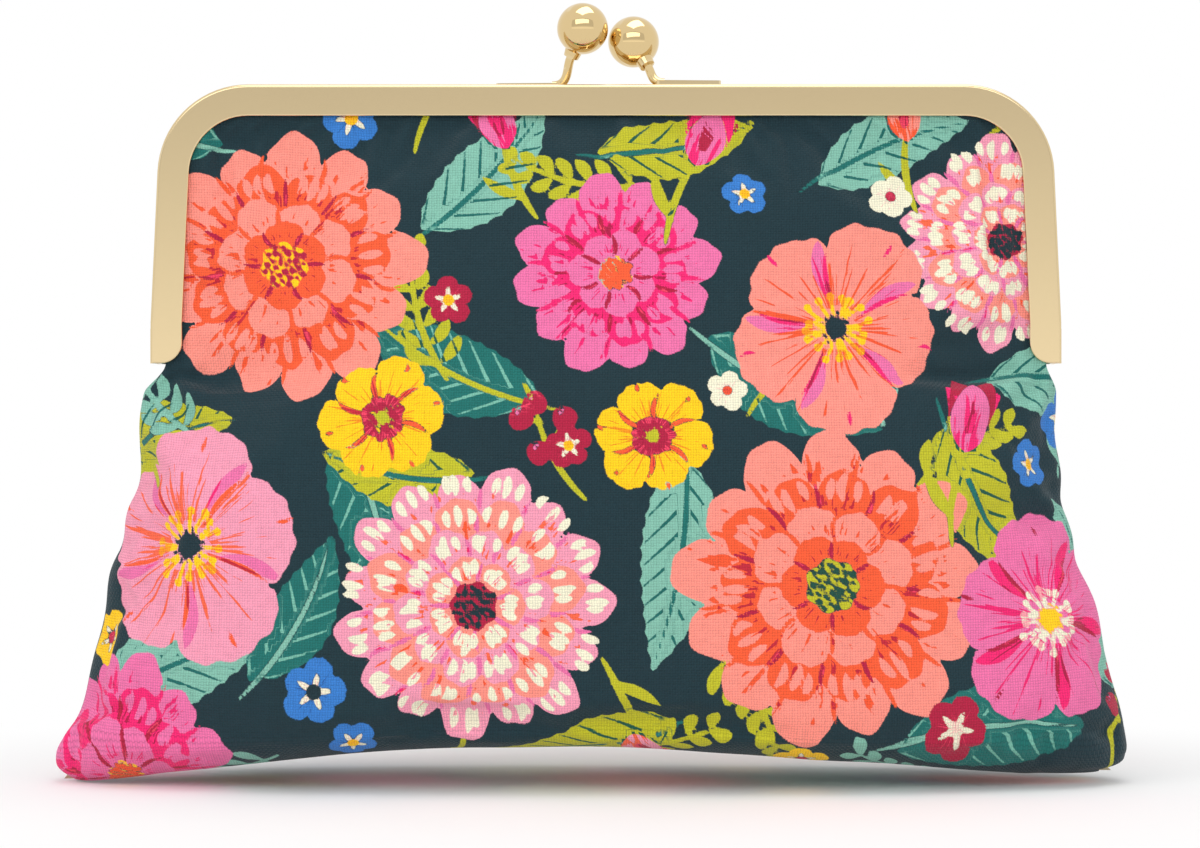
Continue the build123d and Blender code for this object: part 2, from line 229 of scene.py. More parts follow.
def broad_part(move):
    """What is left of a displacement when its folds are smoothed out."""
    out = move.copy()
    for _ in range(settle_smoothing):
        for axis in (0, 1):
            before = np.roll(out, 1, axis)
            after = np.roll(out, -1, axis)
            mean = (before + 2 * out + after) / 4
            inner = (slice(1, -1), slice(None)) if axis == 0 else (slice(None), slice(1, -1))
            out[inner] = mean[inner]
    return out


def settle(g, side):
    """Cloth simulation: a panel cut slightly too big for its seams, held all round and filled."""
    rows = np.unique(np.r_[np.arange(0, g.shape[0], settle_step), g.shape[0] - 1])
    cols = np.unique(np.r_[np.arange(0, g.shape[1], settle_step), g.shape[1] - 1])
    c = g[np.ix_(rows, cols)]
    obj = grid_mesh("settling", c)[0]
    if (grid_normals(c)[..., 1] * side).mean() < 0:
        obj.data.flip_normals()
    x, z = np.abs(c[..., 0]), c[..., 2]
    held = (z > mouth - 1.5) | ((z > leg_end - 1) & (x > window_half(z) - 2.5))
    held[:, [0, -1]] = True
    held[-1] = True
    group = obj.vertex_groups.new(name="held")
    group.add(np.nonzero(held.ravel())[0].tolist(), 1.0, "REPLACE")
    mod = obj.modifiers.new("cloth", "CLOTH")
    cloth = mod.settings
    cloth.quality, cloth.mass, cloth.air_damping = 7, 0.2, 4.0
    cloth.tension_stiffness = cloth.compression_stiffness = 22.0
    cloth.shear_stiffness, cloth.bending_stiffness = 9.0, 0.9
    cloth.vertex_group_mass = "held"
    cloth.shrink_min = settle_shrink
    cloth.use_pressure = True
    cloth.uniform_pressure_force = settle_pressure
    cloth.effector_weights.gravity = 0
    mod.collision_settings.use_collision = False
    scene = bpy.context.scene
    mod.point_cache.frame_start, mod.point_cache.frame_end = 1, settle_frames
    for number in range(1, settle_frames + 1):
        scene.frame_set(number)
    done = obj.evaluated_get(bpy.context.evaluated_depsgraph_get())
    after = np.empty(c.size, np.float32)
    done.data.vertices.foreach_get("co", after)
    scene.frame_set(1)
    bpy.data.meshes.remove(obj.data)
    move = after.reshape(c.shape) / mm - c
    size = np.linalg.norm(move, axis=2, keepdims=True)
    move *= np.minimum(1, settle_cap / np.maximum(size, 1e-6))
    # The broad swell is already in the cut, so little of it is added, and the folds are kept.
    move -= broad_part(move) * (1 - settle_swell)
    full = fill_between(move, rows, g.shape[0])
    full = fill_between(full.transpose(1, 0, 2), cols, g.shape[1]).transpose(1, 0, 2)
    # The base lies on its own stiff fold, so it hardly moves.
    row = np.arange(g.shape[0])
    wall = g.shape[0] - rows_roll - rows_base
    full *= step(wall + rows_roll * 0.9, wall - rows_roll * 0.4, row)[:, None, None]
    return g + full


def add_folds(g, side, seed):
    """Soft hand of the cloth: puckers under the hinges, slack swells and the corner creases."""
    n = outward_normals(g, side)
    x, y, z = g[..., 0], np.abs(g[..., 1]), g[..., 2]
    lift = np.zeros_like(x)
    free = step(mouth - 2, mouth - 22, z) * step(0.0, 10.0, window_half(z) - np.abs(x) + 10 * step(93, 85, z))
    for row in range(x.shape[0]):
        for col in range(x.shape[1]):
            p = Vector((x[row, col] / 46.0, z[row, col] / 30.0, seed))
            lift[row, col] = noise.noise(p) * 0.7 + noise.noise(p * 2.3 + Vector((5, 3, 0))) * 0.3
    lift *= free
    for s in (-1, 1):
        dx, dz = (x * s - 99.0), (z - (hinge_z - 3.0))
        r = np.hypot(dx, dz)
        angle = np.arctan2(-dz, -dx)
        fade = step(3.0, 10.0, r) * step(46.0, 14.0, r) * step(0.0, 7.0, y)
        lift += fade * 0.95 * np.sin(angle * 9.0 + seed + s + r * 0.05) * step(93, 88, z)
    # Slack drawn in along the sides, where the seam is shorter than the cloth.
    edge = step(24, 4, y) * step(92, 82, z) * step(6, 16, z)
    lift += edge * 0.7 * np.sin(z * 0.36 + seed * 2 + 1.5 * np.sin(z * 0.11))
    # Crease over each lower corner, where the boxed base folds.
    for s, where in ((-1, 16.5), (1, 12.0)):
        near = step(96, 108, x * s)
        line = z - (where + (x * s - 108) * -0.22)
        lift += near * (-1.5 * np.exp(-(line / 1.6) ** 2) + 1.0 * np.exp(-((line + 5) / 4.0) ** 2))
    u = np.linspace(-1, 1, g.shape[1])[None, :]
    return g + n * (lift * (1 - np.abs(u) ** 18))[..., None]


# ---------------------------------------------------------------- the print
# Colours in printing order: a later one lies over an earlier one. The second colour is the one
# its brush lines are drawn in: leaf veins, and the rays that run out from a flower's heart.
inks = {
    "mint": (srgb(124, 180, 162), srgb(20, 98, 92)), "teal": (srgb(20, 104, 98), srgb(112, 176, 158)),
    "moss": (srgb(24, 72, 60), srgb(88, 150, 128)), "lime": (srgb(182, 180, 34), srgb(24, 84, 66)),
    "pink": (srgb(233, 148, 172), srgb(240, 98, 66)), "coral": (srgb(243, 140, 126), srgb(236, 84, 46)),
    "orange": (srgb(238, 88, 48), srgb(186, 34, 52)), "rose": (srgb(226, 108, 160), srgb(228, 28, 106)),
    "magenta": (srgb(234, 30, 108), srgb(166, 18, 66)), "crimson": (srgb(170, 22, 60), srgb(226, 60, 92)),
    "cream": (srgb(230, 226, 200), srgb(236, 150, 160)), "yellow": (srgb(246, 196, 14), srgb(238, 140, 20)),
    "blue": (srgb(50, 118, 194), srgb(20, 60, 128)), "ink": (srgb(20, 44, 52), srgb(20, 44, 52)),
}
ground = srgb(19, 46, 54)
ink_names = list(inks)
far_away = 3.0                                 # distances are kept up to this many mm
ink_edge = 0.07                                # an ink fades out over this much each way, mm
vein_gap = 5.2                                 # between side veins, mm


class Print:
    """Signed distance of each ink on the flat cloth, mm, negative inside, and where the brush ran."""

    def __init__(self, across, up):
        self.x, self.t = across.ravel(), up.ravel()
        self.f = np.full((len(inks), self.x.size), far_away, np.float32)
        self.ray = np.tile(np.array([0, 0, 9], np.float32), (self.x.size, 1))
        self.vein = np.zeros((self.x.size, 3), np.float32)

    def near(self, cx, cy, reach):
        """The part of the cloth around one motif."""
        part = Patch()
        part.pick = np.nonzero((np.abs(self.x - cx) < reach) & (np.abs(self.t - cy) < reach))[0]
        part.x, part.t = self.x[part.pick], self.t[part.pick]
        part.f, part.ray = self.f[:, part.pick], self.ray[part.pick]
        part.vein, part.whole = self.vein[part.pick], self
        return part


class Patch:
    def ink(self, name, s):
        k = ink_names.index(name)
        s = s.astype(np.float32)
        self.f[k] = np.minimum(self.f[k], s)
        if k + 1 < len(self.f):
            self.f[k + 1:] = np.maximum(self.f[k + 1:], -s)

    def rays(self, s, x, t, share):
        """Inside s the brush ran out from (x, t); share is 0 at the start of the stroke, 1 at its end."""
        inside = s < 0.8
        a = np.arctan2(self.t - t, self.x - x)
        self.ray[inside] = np.stack([np.cos(a), np.sin(a), share], 1)[inside]
        self.vein[inside] = 0

    def veins(self, s, along, across, half):
        inside = (s < 0.8) & (np.abs(across) > 1.1)
        phase = (along - np.abs(across) * 1.15) / vein_gap
        edge = np.clip(np.abs(across) / np.maximum(half, 0.5), 0, 1.3)
        self.vein[inside] = np.stack([phase, edge, np.ones_like(phase)], 1)[inside]
        self.ray[inside] = (0, 0, 9)

    def done(self):
        self.whole.f[:, self.pick] = self.f
        self.whole.ray[self.pick], self.whole.vein[self.pick] = self.ray, self.vein

    def local(self, px, py, angle, length, bend):
        """Along and across a bent line from a point."""
        ca, sa = math.cos(angle), math.sin(angle)
        a = (self.x - px) * ca + (self.t - py) * sa
        b = -(self.x - px) * sa + (self.t - py) * ca
        q = np.clip(a / length, 0, 1)
        return a, b - bend * 4 * q * (1 - q), q

    def blade(self, px, py, angle, length, width, bend=0.0, fullest=0.5, tip=1.0):
        """Petal, leaf or brush stroke from a point along an angle; tip below 1 is blunt."""
        a, b, q = self.local(px, py, angle, length, bend)
        half = width / 2 * np.sin(math.pi * q ** (math.log(0.5) / math.log(fullest))) ** tip
        ends = np.hypot(np.where(a < 0, a, np.where(a > length, a - length, 0)), b)
        side = np.abs(b) - half
        return np.where((a < 0) | (a > length), np.maximum(ends, side), side)

    def disc(self, px, py, radius, wobble=0.0, lobes=5, turn=0.0):
        dx, dy = self.x - px, self.t - py
        return np.hypot(dx, dy) - radius * (1 + wobble * np.sin(lobes * np.arctan2(dy, dx) + turn))

    def rosette(self, px, py, radius, count, turn, notch, blunt, seed):
        """Outline of a whorl of petals, each with a rounded and slightly ragged end."""
        dx, dy = self.x - px, self.t - py
        a = np.arctan2(dy, dx) - turn
        lobe = np.abs(np.cos(a * count / 2)) ** blunt
        which = np.floor(a * count / (2 * math.pi) + 0.5) % count
        size = 1 + 0.05 * np.sin(which * 2.4 + seed)
        ragged = 0.012 * np.sin(a * 17 + seed) + 0.010 * np.sin(a * 31 + 2 * seed)
        edge = radius * ((1 - notch) + notch * lobe) * size * (1 + ragged)
        return (np.hypot(dx, dy) - edge) * 0.85


def leaf(cloth, x, t, angle, length, width, body="teal", vein="mint", bend=3.0):
    p = cloth.near(x + math.cos(angle) * length / 2, t + math.sin(angle) * length / 2, length * 0.75)
    if not p.pick.size:
        return
    # A leaf has a serrated edge: small teeth that lean to the tip.
    a, b, q = p.local(x, t, angle, length, bend)
    shape = p.blade(x, t, angle, length, width, bend, 0.42, 0.85)
    teeth = 0.55 * np.abs(np.sin(a * math.pi / vein_gap * 1.5))
    shape = shape + np.where((q > 0) & (q < 1), teeth, 0)
    p.ink(body, shape)
    half = width / 2 * np.sin(math.pi * q ** 0.8) ** 0.85
    p.veins(shape, a, b, half)
    p.ink(vein, p.blade(x - math.cos(angle) * 5, t - math.sin(angle) * 5, angle, length * 0.98 + 5,
                        1.3, bend, 0.35, 0.5))
    p.done()


def sprig(cloth, x, t, angle, length, body="lime", pairs=7, size=8.0):
    p = cloth.near(x + math.cos(angle) * length / 2, t + math.sin(angle) * length / 2, length * 0.8)
    if not p.pick.size:
        return
    p.ink(body, p.blade(x, t, angle, length, 1.5, 3.0, 0.3, 0.4))
    ca, sa = math.cos(angle), math.sin(angle)
    for k in range(1, pairs + 1):
        q = k / (pairs + 0.5)
        off = 3.0 * 4 * q * (1 - q)
        bx, by = x + ca * q * length - sa * off, t + sa * q * length + ca * off
        for side in (-1, 1):
            p.ink(body, p.blade(bx, by, angle + side * (0.95 - 0.3 * q), size * (1.1 - 0.55 * q),
                                2.9, side * 0.5, 0.6, 0.7))
    p.done()


def ring_flower(cloth, x, t, r, rings, seed, core="yellow", core_dots="crimson"):
    """Zinnia: rings of petals. rings: (outer share, petals, petal ink, stroke ink, highlight ink)."""
    p = cloth.near(x, t, r * 1.15)
    if not p.pick.size:
        return
    rng = np.random.default_rng(seed)
    reach = np.hypot(p.x - x, p.t - t)
    inner = [ring[0] for ring in rings[1:]] + [0.17]
    for (share, count, body, stroke, light), inside in zip(rings, inner):
        turn = rng.uniform(0, 2 * math.pi)
        out = r * share
        shape = p.rosette(x, t, out, count, turn, 0.20, 0.6, seed + share)
        p.ink(body, shape)
        p.rays(shape, x, t, np.clip((reach / r - inside * 0.8) / (share - inside * 0.8), 0, 1.2) * 1.25)
        for k in range(count):
            gap = turn + (k + 0.5) * 2 * math.pi / count + rng.normal(0, 0.02)
            run = (share - inside) * r
            sx, sy = x + math.cos(gap) * (out - run) * 0.86, t + math.sin(gap) * (out - run) * 0.86
            p.ink(stroke, p.blade(sx, sy, gap + rng.normal(0, 0.05), run * 0.98, 1.15,
                                  rng.normal(0, 0.5), 0.45, 0.6))
            if light:
                mid = turn + k * 2 * math.pi / count
                for off, start, long in ((-0.52, 0.84, 0.66), (0.0, 0.92, 0.84), (0.52, 0.84, 0.66)):
                    aa = mid + off * math.pi / count + rng.normal(0, 0.02)
                    q = out - run * start + rng.normal(0, 0.3)
                    p.ink(light, p.blade(x + math.cos(aa) * q, t + math.sin(aa) * q,
                                         aa - off * 0.2 + rng.normal(0, 0.06),
                                         run * long * rng.uniform(0.85, 1.05), 1.9,
                                         rng.normal(0, 0.4), 0.55, 0.45))
    heart = p.disc(x, t, r * 0.17, 0.07, 7, seed)
    p.ink(core, heart)
    p.rays(heart, x, t, reach * 0 + 9)
    for k in range(30):
        a, q = k * 2.399963, math.sqrt((k + 0.5) / 30) * r * 0.16
        p.ink(core_dots, p.disc(x + math.cos(a) * q, t + math.sin(a) * q, 0.55 + 0.12 * (k % 3)))
    p.done()


def blossom(cloth, x, t, r, turn, body, stroke, heart="ink", stamens="yellow", shade=None, count=5):
    """Open flower: broad petals with brushed rays, folded edges and a tuft of stamens."""
    p = cloth.near(x, t, r * 1.2)
    if not p.pick.size:
        return
    seed = int(abs(x * 7 + t * 3)) + 11
    rng = np.random.default_rng(seed)
    reach = np.hypot(p.x - x, p.t - t)
    shape = p.rosette(x, t, r, count, turn, 0.24, 0.42, seed)
    p.ink(body, shape)
    p.rays(shape, x, t, reach / r)
    for k in range(count):
        gap = turn + (k + 0.5) * 2 * math.pi / count
        gx, gy = x + math.cos(gap) * r * 0.22, t + math.sin(gap) * r * 0.22
        if shade:
            p.ink(shade, np.maximum(p.blade(gx, gy, gap + 0.13, r * 0.66, 3.4, 1.2, 0.6, 0.7),
                                    shape + 0.5))
        p.ink(stroke, p.blade(gx, gy, gap + 0.03, r * 0.56, 1.2, 0.9, 0.5, 0.6))
        # A dent and a short fold at the tip of each petal.
        tip = turn + k * 2 * math.pi / count + rng.normal(0, 0.05)
        p.ink(stroke, p.blade(x + math.cos(tip) * r * 0.8, t + math.sin(tip) * r * 0.8, tip, r * 0.17,
                              1.0, rng.normal(0, 0.4), 0.5, 0.6))
    centre = p.disc(x, t, r * 0.16, 0.10, 9, turn)
    p.ink(heart, centre)
    p.rays(centre, x, t, reach * 0 + 9)
    for k in range(17):
        a = turn + k * 2 * math.pi / 17 + rng.normal(0, 0.06)
        q = r * (0.25 + 0.09 * rng.random())
        p.ink(stamens, p.blade(x + math.cos(a) * r * 0.1, t + math.sin(a) * r * 0.1, a, q - r * 0.1, 1.0,
                               rng.normal(0, 0.4), 0.5, 0.4))
        p.ink(stamens, p.disc(x + math.cos(a) * q, t + math.sin(a) * q, 0.95))
    p.done()


def tulip(cloth, x, t, size, angle, body, stroke, light, stem="lime"):
    """Tulip in profile with a stem; angle points from the stem to the tips."""
    p = cloth.near(x, t, size * 2.2)
    if not p.pick.size:
        return
    ca, sa = math.cos(angle), math.sin(angle)
    p.ink(stem, p.blade(x - ca * size * 1.5, t - sa * size * 1.5, angle, size * 1.6, 1.7, size * 0.1,
                        0.5, 0.3))
    p.ink(stem, p.blade(x - ca * size * 1.1, t - sa * size * 1.1, angle + 0.7, size * 0.9, size * 0.2,
                        1.0, 0.5, 0.8))
    for off, wide, long, petal in ((-0.42, 0.5, 1.0, stroke), (0.42, 0.5, 1.0, stroke),
                                   (-0.24, 0.6, 1.12, body), (0.24, 0.6, 1.12, body),
                                   (0.0, 0.62, 1.02, light)):
        bx, by = x - ca * size * 0.1, t - sa * size * 0.1
        shape = p.blade(bx, by, angle + off, size * long, size * wide, -off * size * 0.32, 0.45, 0.75)
        p.ink(petal, shape)
        p.rays(shape, bx - ca * size, by - sa * size, np.clip(np.hypot(p.x - bx, p.t - by) / size, 0, 1.2))
        for j in (-1, 0, 1):
            aa = angle + off + j * 0.13
            p.ink(stroke if petal != stroke else body,
                  p.blade(bx + math.cos(aa) * size * 0.25, by + math.sin(aa) * size * 0.25, aa,
                          size * (0.5 + 0.08 * j), size * 0.05 + 0.45, -off * size * 0.25, 0.4, 0.6))
    p.done()


def posy(cloth, x, t, r, petals, eye, edge="cream", turn=0.3):
    """Small flower of five round petals."""
    p = cloth.near(x, t, r * 1.4)
    if not p.pick.size:
        return
    shape = p.rosette(x, t, r, 5, turn, 0.34, 0.5, turn)
    p.ink(petals, shape)
    p.rays(shape, x, t, np.hypot(p.x - x, p.t - t) / r + 0.25)
    for k in range(5):
        a = turn + k * 2 * math.pi / 5
        p.ink(edge, p.blade(x, t, a, r * 0.6, r * 0.14 + 0.4, 0, 0.5, 0.6))
    p.ink(eye, p.disc(x, t, r * 0.24))
    p.done()


def berries(cloth, x, t, angle, length, fruit="crimson", stem="lime"):
    p = cloth.near(x + math.cos(angle) * length / 2, t + math.sin(angle) * length / 2, length)
    if not p.pick.size:
        return
    p.ink(stem, p.blade(x, t, angle, length, 1.4, 2.0, 0.4, 0.3))
    for k, (q, side) in enumerate(((0.45, 1), (0.62, -1), (0.8, 1), (1.0, 0))):
        bx, by = x + math.cos(angle) * length * q, t + math.sin(angle) * length * q
        aa, run = angle + side * 0.9, length * 0.22
        ex, ey = bx + math.cos(aa) * run * abs(side), by + math.sin(aa) * run * abs(side)
        p.ink(stem, p.blade(bx, by, aa, run, 1.2, 0, 0.5, 0.3))
        p.ink(fruit, p.disc(ex, ey, 2.7, 0.05, 3, k))
        p.ink("rose", p.blade(ex - 1.2, ey + 0.4, 0.9, 2.0, 1.0, 0.2, 0.5, 0.6))
    p.done()


def draw_print(cloth, dx=0.0, dt=0.0):
    """The cloth's design, its motifs listed one by one; a shift gives the back its own cut."""
    way = math.radians

    def put(motif, x, t, *rest, **more):
        motif(cloth, x + dx, t + dt, *rest, **more)

    for x, t, a, length, width, body, vein, bend in (
            (-104, 92, 82, 50, 20, "teal", "mint", 3), (-40, 120, 48, 40, 17, "mint", "teal", -3),
            (-14, 82, 152, 46, 18, "teal", "lime", 4), (22, 96, -28, 44, 18, "teal", "mint", -3),
            (46, 130, 24, 38, 15, "mint", "teal", 3), (104, 116, 104, 36, 16, "lime", "teal", -3),
            (84, 86, -6, 44, 18, "mint", "teal", 3), (-116, 66, 18, 38, 16, "lime", "teal", 3),
            (-58, 74, -74, 44, 18, "teal", "mint", 4), (16, 70, -98, 46, 18, "mint", "teal", 3),
            (74, 78, -58, 42, 17, "lime", "teal", -4), (-114, 10, 26, 50, 20, "mint", "teal", 4),
            (14, 12, -164, 42, 17, "lime", "teal", 3), (62, 8, 4, 44, 18, "teal", "mint", 3),
            (118, 18, 112, 46, 18, "mint", "teal", -4), (-56, -4, -22, 46, 18, "teal", "lime", 4),
            (-2, 138, 12, 36, 15, "lime", "teal", -3), (-84, 140, 158, 38, 15, "teal", "mint", 3),
            (-28, 66, 172, 34, 14, "lime", "teal", 3), (28, -24, 20, 44, 18, "mint", "teal", 3),
            (-98, -20, 12, 44, 18, "lime", "teal", 3), (-76, 22, 60, 36, 15, "teal", "mint", -3)):
        put(leaf, x, t, way(a), length, width, body, vein, bend)
    for x, t, a, length, body in (
            (-34, 86, 104, 32, "lime"), (10, 130, 168, 32, "lime"), (104, 64, 58, 30, "mint"),
            (-90, 74, 132, 30, "mint"), (22, 30, -62, 32, "lime"), (-70, 6, 202, 32, "mint"),
            (60, 76, 102, 30, "mint"), (-6, -8, 32, 36, "lime"), (84, -10, 150, 36, "mint"),
            (-8, 98, 60, 26, "mint"), (66, 62, 30, 28, "lime")):
        put(sprig, x, t, way(a), length, body)
    for x, t, a, length in ((-42, 138, 62, 24), (82, 140, 28, 24), (-4, 60, 118, 24),
                            (112, 2, 62, 22), (-118, 42, 112, 22), (40, -4, 200, 24),
                            (30, 78, 40, 20), (-30, 12, 250, 22)):
        put(berries, x, t, way(a), length)
    warm = [(1.0, 13, "coral", "orange", None), (0.76, 11, "orange", "crimson", "coral"),
            (0.52, 8, "coral", "orange", None), (0.33, 6, "orange", "crimson", None)]
    soft = [(1.0, 15, "pink", "rose", "cream"), (0.78, 12, "coral", "rose", "cream"),
            (0.56, 10, "pink", "rose", "cream"), (0.36, 7, "coral", "rose", "cream")]
    hot = [(1.0, 12, "rose", "magenta", None), (0.72, 9, "magenta", "crimson", "rose"),
           (0.44, 7, "rose", "crimson", None)]
    put(ring_flower, -70, 112, 30, warm, 3)
    put(ring_flower, 48, 42, 33, warm, 8, core="lime", core_dots="moss")
    put(ring_flower, -28, 38, 29, soft, 5, core="crimson", core_dots="ink")
    put(ring_flower, 88, 118, 24, soft, 6, core="crimson", core_dots="ink")
    put(ring_flower, 2, 110, 22, hot, 4, core="yellow", core_dots="orange")
    put(ring_flower, -106, 2, 25, hot, 9, core="yellow", core_dots="orange")
    put(ring_flower, 12, -34, 28, warm, 12)
    put(blossom, -90, 50, 25, way(84), "pink", "orange", shade="rose")
    put(blossom, 50, 98, 23, way(60), "coral", "magenta", shade="rose")
    put(blossom, 96, 34, 22, way(20), "rose", "crimson", heart="yellow", stamens="cream", shade="magenta")
    put(blossom, 98, -26, 25, way(80), "coral", "orange", shade="orange")
    put(blossom, -44, -30, 25, way(40), "pink", "magenta", shade="rose")
    put(blossom, -48, 78, 13.5, way(10), "yellow", "orange", heart="lime", stamens="crimson", count=6)
    put(blossom, 10, 74, 12.5, way(50), "yellow", "orange", heart="lime", stamens="crimson", count=6)
    put(tulip, 20, 136, 14, way(70), "magenta", "crimson", "rose")
    put(tulip, -22, 140, 13, way(112), "crimson", "magenta", "rose")
    put(tulip, -110, 80, 14, way(122), "orange", "crimson", "coral")
    put(tulip, 78, 72, 15, way(80), "crimson", "magenta", "rose")
    put(tulip, 6, 8, 14, way(-70), "magenta", "crimson", "pink")
    put(tulip, 66, 142, 12, way(96), "orange", "crimson", "coral")
    for x, t, r, petals, eye in (
            (106, 78, 7.5, "blue", "yellow"), (94, 68, 5.5, "blue", "yellow"),
            (115, 66, 5.5, "blue", "ink"), (-8, 72, 5, "crimson", "yellow"),
            (-62, 20, 7, "blue", "ink"), (-54, 8, 5.5, "blue", "yellow"),
            (30, 128, 5, "blue", "yellow"), (-34, 104, 5.5, "crimson", "yellow"),
            (-104, 134, 7, "magenta", "yellow"), (74, 12, 7, "crimson", "cream"),
            (26, 84, 4.5, "cream", "orange"), (-114, 30, 6, "yellow", "crimson"),
            (62, 128, 5, "cream", "crimson"), (104, 148, 7, "crimson", "yellow"),
            (-56, 146, 6.5, "blue", "yellow"), (42, 2, 6, "yellow", "crimson"),
            (72, -18, 7, "blue", "yellow"), (-76, -12, 7, "crimson", "yellow"),
            (-14, -8, 6, "cream", "crimson"), (116, -8, 7, "yellow", "crimson")):
        put(posy, x, t, r, petals, eye, turn=x * 0.1)


# ---------------------------------------------------------------- pieces of cloth
def grid_mesh(name, g):
    rows, cols = g.shape[:2]
    mesh = bpy.data.meshes.new(name)
    verts = (g.reshape(-1, 3) * mm).tolist()
    idx = np.arange(rows * cols).reshape(rows, cols)
    quads = np.stack([idx[:-1, :-1], idx[:-1, 1:], idx[1:, 1:], idx[1:, :-1]], -1).reshape(-1, 4)
    mesh.from_pydata(verts, [], quads.tolist())
    mesh.polygons.foreach_set("use_smooth", np.ones(len(quads), bool))
    return new_object(name, mesh), quads


def store(mesh, name, values):
    layer = mesh.attributes.new(name, "FLOAT", "POINT")
    layer.data.foreach_set("value", np.clip(values, -far_away, far_away).astype(np.float32))


def store_vector(mesh, name, values):
    layer = mesh.attributes.new(name, "FLOAT_VECTOR", "POINT")
    layer.data.foreach_set("vector", values.astype(np.float32).ravel())


def add_uv(obj, quads, across, up):
    """The cloth laid flat, for the bake and for the weave, one layer in 0..1 and one in mm."""
    loops = quads.ravel()
    x, t = across.ravel()[loops], up.ravel()[loops]
    span = max(across.max() - across.min(), up.max() - up.min()) * 1.01
    flat = obj.data.uv_layers.new(name="OFBake")
    flat.data.foreach_set("uv", np.stack([(x - across.min()) / span, (t - up.min()) / span], 1)
                          .astype(np.float32).ravel())
    cloth = obj.data.uv_layers.new(name="cloth_mm")
    cloth.data.foreach_set("uv", np.stack([x, t], 1).astype(np.float32).ravel())


# Known fault: with the frame open, the lining comes through the canvas just under the leg ends.
drawn_in = (0.048, 0.35)                       # share of its width and depth that the lining loses


def fold_over(obj):
    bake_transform(obj)


def make_panel(side, cut, g):
    word = word_for[side]
    across, up = flat_coordinates(cut)
    obj, quads = grid_mesh(word + "_panel", g)
    add_uv(obj, quads, across, up)
    cloth = Print(across, up)
    draw_print(cloth, *print_shift[side])
    for k, ink in enumerate(ink_names):
        store(obj.data, "ink_" + ink, cloth.f[k])
    store_vector(obj.data, "brush_ray", cloth.ray)
    store_vector(obj.data, "brush_vein", cloth.vein)
    fold_over(obj)
    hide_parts(word + "_panel_upper", word + "_panel_lower",
                word + "_fleece_upper", word + "_fleece_lower")
    return obj


def make_lining(side, cut, canvas_grid):
    """The lining: cut to the canvas's pattern, it lies inside the canvas on half as many points."""
    word = word_for[side]
    across, up = flat_coordinates(cut[::2, ::2])
    n = outward_normals(cut[::2, ::2], side)
    g = canvas_grid[::2, ::2] - n * lining_depth
    # The two linings meet at the side seams, just inside the canvas.
    u = np.linspace(-1, 1, g.shape[1])
    near_edge = np.abs(u)[None, :] ** 24 * step(93, 88, g[..., 2])
    g[..., 1] *= 1 - near_edge
    # Beside the hinges the lining is drawn in, so that less of it comes past the fold.
    drawn = step(0.80, 1.0, np.abs(u))[None, :] * step(70, 80, g[..., 2]) * step(107, 101, g[..., 2])
    g[..., 0] *= 1 - drawn_in[0] * drawn
    g[..., 1] *= 1 - drawn_in[1] * drawn
    obj, quads = grid_mesh(word + "_lining", g[:, ::-1])
    add_uv(obj, quads, across[:, ::-1], up[:, ::-1])
    fold_over(obj)
    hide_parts(word + "_lining_upper", word + "_lining_lower")
    return obj


# ---------------------------------------------------------------- materials
class Net:
    """The nodes of a material or world, with short calls for the kinds that are used often."""

    def __init__(self, tree):
        self.nodes, self.link = tree.nodes, tree.links.new

    def add(self, kind):
        return self.nodes.new("ShaderNode" + kind)

    def feed(self, slot, value):
        """Sets a socket to a plain number or colour, or links an output to it."""
        if isinstance(value, (int, float, tuple)):
            slot.default_value = value
        elif value is not None:
            self.link(value, slot)

    def math(self, kind, a, b=None, c=None, clamp=False):
        node = self.add("Math")
        node.operation = kind
        node.use_clamp = clamp
        for slot, value in zip(node.inputs, (a, b, c)):
            self.feed(slot, value)
        return node.outputs[0]

    def centred(self, value, reach):
        """A 0 to 1 value as a swing about 0."""
        return self.math("MULTIPLY", self.math("SUBTRACT", value, 0.5), reach)

    def mix(self, share, a, b):
        node = self.add("Mix")
        node.data_type = "RGBA"
        for slot, value in (("Factor", share), ("A", a), ("B", b)):
            self.feed(node.inputs[slot], value)
        return node.outputs["Result"]

    def noise(self, vector, scale, detail=3.0, rough=0.5):
        node = self.add("TexNoise")
        for slot, value in (("Scale", scale), ("Detail", detail), ("Roughness", rough), ("Vector", vector)):
            self.feed(node.inputs[slot], value)
        return node.outputs["Fac"]

    def range(self, value, low, high, to_low=0.0, to_high=1.0):
        node = self.add("MapRange")
        for slot, number in (("From Min", low), ("From Max", high), ("To Min", to_low),
                             ("To Max", to_high), ("Value", value)):
            self.feed(node.inputs[slot], number)
        return node.outputs["Result"]

    def scaled(self, vector, factors):
        node = self.add("VectorMath")
        node.operation = "MULTIPLY"
        self.feed(node.inputs[0], vector)
        self.feed(node.inputs[1], factors)
        return node.outputs[0]

    def parts(self, vector):
        node = self.add("SeparateXYZ")
        self.link(vector, node.inputs[0])
        return node.outputs

    def attribute(self, name, kind):
        node = self.add("Attribute")
        node.attribute_name = name
        return node.outputs[kind]

    def place(self):
        return self.add("TexCoord").outputs["Object"]

    def bump(self, bsdf, height, strength, distance):
        node = self.add("Bump")
        node.inputs["Strength"].default_value = strength
        node.inputs["Distance"].default_value = distance
        self.link(height, node.inputs["Height"])
        self.link(node.outputs["Normal"], bsdf.inputs["Normal"])

    def seen_rays(self):
        """1 for what the camera, metal and glass see, 0 for the light that falls on things."""
        rays = self.add("LightPath").outputs
        return self.math("MAXIMUM", rays["Is Camera Ray"],
                         self.math("MAXIMUM", rays["Is Glossy Ray"], rays["Is Transmission Ray"]))

    def show(self, shader):
        self.link(shader, self.nodes["Material Output"].inputs["Surface"])


